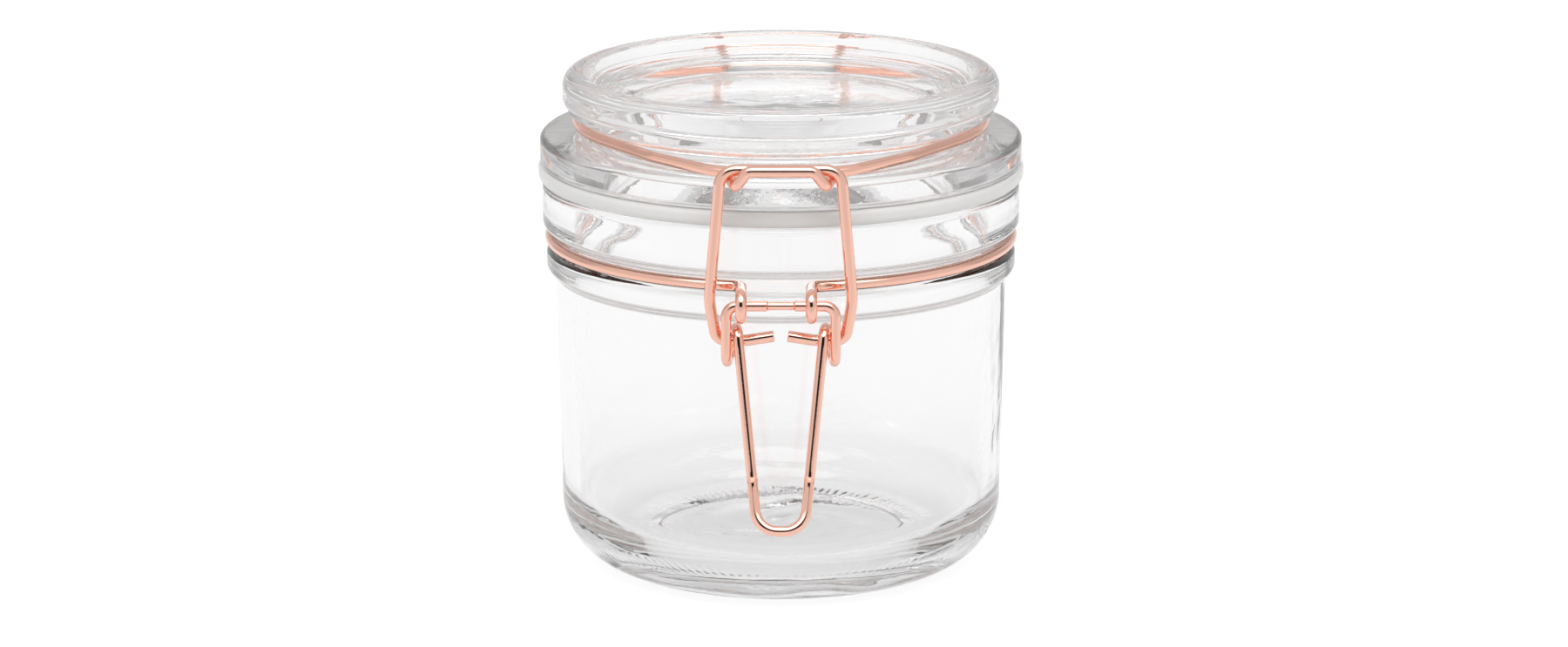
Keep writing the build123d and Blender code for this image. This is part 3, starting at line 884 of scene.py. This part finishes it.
def silicone():
    """Milky white silicone."""
    material, shader = new_material("seal_silicone")
    tree = material.node_tree
    shader.inputs["Base Color"].default_value = (0.93, 0.925, 0.91, 1)
    shader.inputs["Roughness"].default_value = 0.22
    shader.inputs["IOR"].default_value = 1.41
    shader.inputs["Transmission Weight"].default_value = 0.25
    noise = noise_node(tree, slow=250, fine=1800, part=0.5)
    bumped(tree, noise.outputs["Height"], shader, distance=0.03 * MM)
    return material


SMOOTHEST = 0.6             # shares of the plating's roughness, at the noise's ends
ROUGHEST = 1.6


def copper(look):
    """Polished rose-gold plating with fine drawing marks."""
    material = bpy.data.materials.get("rose_copper")
    if material:
        return material
    material, shader = new_material("rose_copper")
    tree = material.node_tree
    shader.inputs["Base Color"].default_value = look.tint
    shader.inputs["Metallic"].default_value = 1.0
    noise = noise_node(tree, slow=350, fine=2600, part=0.5)
    spread = tree.nodes.new("ShaderNodeMapRange")
    spread.inputs["To Min"].default_value = look.roughness * SMOOTHEST
    spread.inputs["To Max"].default_value = look.roughness * ROUGHEST
    tree.links.new(noise.outputs["Height"], spread.inputs["Value"])
    tree.links.new(spread.outputs["Result"], shader.inputs["Roughness"])
    bumped(tree, noise.outputs["Height"], shader, distance=0.008 * MM)
    return material


# ---- operators ----
class BuildJar(bpy.types.Operator):
    """Build the glass jar"""
    bl_idname = "glass_jar.build_jar"
    bl_label = "Glass jar"

    def execute(self, context):
        scene = context.scene
        sizes, look = scene.jar_sizes, scene.glass_look
        waves = jar_waves(sizes, look.waviness)
        around = POINTS_PER_KNURL * sizes.knurls
        jar = turned("glass_jar", jar_outline(sizes), waves, around=around)
        jar.data.materials.append(glass(look))
        finished(jar, "jar", "jar_glass", "jar_body")
        return {"FINISHED"}


class BuildLid(bpy.types.Operator):
    """Build the glass lid and its seal"""
    bl_idname = "glass_jar.build_lid"
    bl_label = "Glass lid and seal"

    def execute(self, context):
        scene = context.scene
        waves = lid_waves(scene.glass_look.waviness)
        lid = turned("glass_lid_piece", lid_outline(scene.lid_sizes), waves)
        lid.data.materials.append(glass(scene.glass_look))
        finished(lid, "lid", "lid_glass", "glass_lid")
        seal = turned("silicone_seal", seal_outline(scene.lid_sizes), closed=True)
        seal.data.materials.append(silicone())
        finished(seal, "lid", "silicone", "seal_ring")
        return {"FINISHED"}


class BuildLatch(bpy.types.Operator):
    """Build the copper wires of the latch"""
    bl_idname = "glass_jar.build_latch"
    bl_label = "Wire latch"

    def execute(self, context):
        sizes = context.scene.wire_sizes
        finish = copper(context.scene.copper_look)
        wires = (
            ("copper_neck_wire", neck_wire_path, sizes.wire, "jar", "neck_wire"),
            ("copper_lid_wire", lid_wire_path, sizes.wire, "lid", "lid_wire"),
            ("copper_bail", bail_path, sizes.wire, "bail", "bail"),
            ("copper_lever", lever_path, sizes.lever_wire, "lever", "lever"),
        )
        for name, path, diameter, body, node in wires:
            nick = LEVER_BOX[0].z + NICK_RISE if node == "lever" else None
            piece = bent_wire(name, path(sizes), diameter, finish, nick)
            finished(piece, body, "copper_wire", node)
        half = PIN_BOX[1].x
        ends = [(-half, AXLE.y, AXLE.z), (half, AXLE.y, AXLE.z)]
        thickness = PIN_BOX[1].z - PIN_BOX[0].z
        pin = bent_wire("copper_axle_pin", (ends, [0, 0]), thickness, finish)
        finished(pin, "lever", "copper_wire", "lever_axle_pin")
        return {"FINISHED"}


# ---- studio ----
ROOM_DARK = 0.02            # brightness of the unlit room in front
SKY_SEEN = 1.0              # surround's brightness as the camera sees it
FLOOR_GREY = 0.25
FLOOR_SEEN = 0.85           # floor's own brightness as the camera sees it
FLOOR_SIDES = 96
FRONT_DIM = 0.72            # painted shade: the floor's glow beyond the table's front edge, as a share of the floor's glow
DIM_START = 0.12            # that edge's soft start and end, in front of the jar's axis
DIM_END = 0.30
CAMERA_LENS = 116.2
CAMERA_SENSOR = 36
CAMERA_PLACE = (0.0006, -0.97705, 0.29303)
CAMERA_DIP = 14.115         # degrees below the horizon


def math_node(tree, operation, *values):
    """A Math node, whose inputs are numbers or sockets."""
    node = tree.nodes.new("ShaderNodeMath")
    node.operation = operation
    for socket, value in zip(node.inputs, values):
        if isinstance(value, (int, float)):
            socket.default_value = value
        else:
            tree.links.new(value, socket)
    return node.outputs[0]


def ramp(tree, value, start, end, low=0.0, high=1.0):
    """A smooth step between two values."""
    node = tree.nodes.new("ShaderNodeMapRange")
    node.interpolation_type = "SMOOTHSTEP"
    tree.links.new(value, node.inputs["Value"])
    node.inputs["From Min"].default_value = start
    node.inputs["From Max"].default_value = end
    node.inputs["To Min"].default_value = low
    node.inputs["To Max"].default_value = high
    return node.outputs["Result"]


def patch(tree, azimuth, height, start=None, end=None, low=None, high=None):
    """How much of a direction lies in a patch of the surround. Each soft edge of the patch
    is a span in degrees: its start and end around the sides, its low and its high edge."""
    result = None
    edges = ((azimuth, start, 0, 1), (azimuth, end, 1, 0), (height, low, 0, 1), (height, high, 1, 0))
    for value, span, before, after in edges:
        if span:
            edge = ramp(tree, value, radians(span[0]), radians(span[1]), before, after)
            result = math_node(tree, "MULTIPLY", result, edge) if result else edge
    return result


def studio_world(look):
    """White surround with an overhead softbox, grey flags at both sides, a greyer wall at
    the back and an unlit room in front."""
    world = bpy.data.worlds.new("studio")
    world.use_nodes = True
    tree = world.node_tree
    tree.nodes.clear()
    place = tree.nodes.new("ShaderNodeTexCoord")
    split = tree.nodes.new("ShaderNodeSeparateXYZ")
    tree.links.new(place.outputs["Generated"], split.inputs[0])
    x, y, z = split.outputs
    forward = math_node(tree, "MULTIPLY", y, -1.0)
    azimuth = math_node(tree, "ABSOLUTE", math_node(tree, "ARCTAN2", x, forward))
    height = math_node(tree, "ARCSINE", z)
    room = patch(tree, azimuth, height, end=(26, 34), low=(2, 4), high=(32, 36))
    flag = patch(tree, azimuth, height, start=(96, 112), end=(138, 152), high=(30, 55))
    wall = patch(tree, azimuth, height, start=(140, 160), low=(3, 9), high=(40, 60))
    box = patch(tree, azimuth, height, end=(50, 70), low=(38, 42))
    lit = math_node(tree, "MULTIPLY", box, look.softbox - look.white)
    white = math_node(tree, "ADD", look.white, lit)
    flagged = math_node(tree, "MULTIPLY", white, ramp(tree, flag, 0, 1, 1, look.flag))
    shaded = math_node(tree, "MULTIPLY", flagged, ramp(tree, wall, 0, 1, 1, look.back))
    path = tree.nodes.new("ShaderNodeLightPath")
    through = math_node(tree, "MULTIPLY", path.outputs["Is Transmission Ray"], look.room_glass)
    unlit = math_node(tree, "MULTIPLY", room, math_node(tree, "SUBTRACT", 1.0, through))
    level = math_node(tree, "MULTIPLY", shaded, ramp(tree, unlit, 0, 1, 1, ROOM_DARK))
    mix = tree.nodes.new("ShaderNodeMix")
    tree.links.new(path.outputs["Is Camera Ray"], mix.inputs["Factor"])
    tree.links.new(level, mix.inputs["A"])
    mix.inputs["B"].default_value = SKY_SEEN
    background = tree.nodes.new("ShaderNodeBackground")
    background.inputs["Color"].default_value = (1, 1, 1, 1)
    done = tree.nodes.new("ShaderNodeOutputWorld")
    tree.links.new(mix.outputs["Result"], background.inputs["Strength"])
    tree.links.new(background.outputs[0], done.inputs[0])
    bpy.context.scene.world = world


def floor_material(look):
    """Pale floor that glows: evenly bright as the camera sees it, and, as other rays see it, a
    painted shade makes it dimmer beyond the table's front edge.
    """
    material, shader = new_material("pale_floor")
    tree = material.node_tree
    shader.inputs["Base Color"].default_value = (FLOOR_GREY, FLOOR_GREY, FLOOR_GREY, 1)
    shader.inputs["Roughness"].default_value = 0.9
    shader.inputs["Emission Color"].default_value = (1, 1, 1, 1)
    place = tree.nodes.new("ShaderNodeTexCoord")
    split = tree.nodes.new("ShaderNodeSeparateXYZ")
    tree.links.new(place.outputs["Object"], split.inputs[0])
    ahead = math_node(tree, "MULTIPLY", split.outputs["Y"], -1.0)
    # painted shade: the floor's glow is dimmer ahead, beyond the table's front edge
    dim = ramp(tree, ahead, DIM_START, DIM_END, look.floor_white, look.floor_white * FRONT_DIM)
    path = tree.nodes.new("ShaderNodeLightPath")
    mix = tree.nodes.new("ShaderNodeMix")
    tree.links.new(path.outputs["Is Camera Ray"], mix.inputs["Factor"])
    tree.links.new(dim, mix.inputs["A"])
    mix.inputs["B"].default_value = FLOOR_SEEN
    tree.links.new(mix.outputs["Result"], shader.inputs["Emission Strength"])
    return material


class BuildStage(bpy.types.Operator):
    """Build the floor, the light and the camera"""
    bl_idname = "glass_jar.build_stage"
    bl_label = "Stage"

    def execute(self, context):
        look = context.scene.studio_look
        turn = [2 * pi * k / FLOOR_SIDES for k in range(FLOOR_SIDES)]
        verts = [(look.floor_radius * cos(a), look.floor_radius * sin(a), 0) for a in turn]
        floor = piece_from("floor", verts, [tuple(range(FLOOR_SIDES))])
        floor.data.materials.append(floor_material(look))
        studio_world(look)
        camera = bpy.data.cameras.new("camera")
        camera.lens = CAMERA_LENS
        camera.sensor_width = CAMERA_SENSOR
        holder = bpy.data.objects.new("camera", camera)
        holder.location = CAMERA_PLACE
        holder.rotation_euler = (radians(90 - CAMERA_DIP), 0, 0)
        context.scene.collection.objects.link(holder)
        context.scene.camera = holder
        context.scene.view_settings.view_transform = "Standard"
        cycles = context.scene.cycles
        cycles.max_bounces = 24
        cycles.glossy_bounces = 16
        cycles.transmission_bounces = 24
        return {"FINISHED"}


class JarPanel(bpy.types.Panel):
    """Lists the pieces of the jar"""
    bl_label = "Clip-top jar"
    bl_idname = "VIEW3D_PT_glass_jar"
    bl_space_type = "VIEW_3D"
    bl_region_type = "UI"
    bl_category = "Glass Jar"

    def draw(self, context):
        for operator in OPERATORS:
            self.layout.operator(operator.bl_idname)


SETTINGS = {
    "jar_sizes": JarSizes,
    "lid_sizes": LidSizes,
    "wire_sizes": WireSizes,
    "glass_look": GlassLook,
    "copper_look": CopperLook,
    "studio_look": StudioLook,
}
OPERATORS = (BuildJar, BuildLid, BuildLatch, BuildStage)


def register():
    for name, group in SETTINGS.items():
        bpy.utils.register_class(group)
        setattr(bpy.types.Scene, name, bpy.props.PointerProperty(type=group))
    for operator in OPERATORS:
        bpy.utils.register_class(operator)
    bpy.utils.register_class(JarPanel)


def unregister():
    bpy.utils.unregister_class(JarPanel)
    for operator in reversed(OPERATORS):
        bpy.utils.unregister_class(operator)
    for name, group in reversed(SETTINGS.items()):
        delattr(bpy.types.Scene, name)
        bpy.utils.unregister_class(group)


def main():
    """Builds every piece."""
    register()
    bpy.ops.glass_jar.build_jar()
    bpy.ops.glass_jar.build_lid()
    bpy.ops.glass_jar.build_latch()
    bpy.ops.glass_jar.build_stage()


if __name__ == "__main__":
    main()
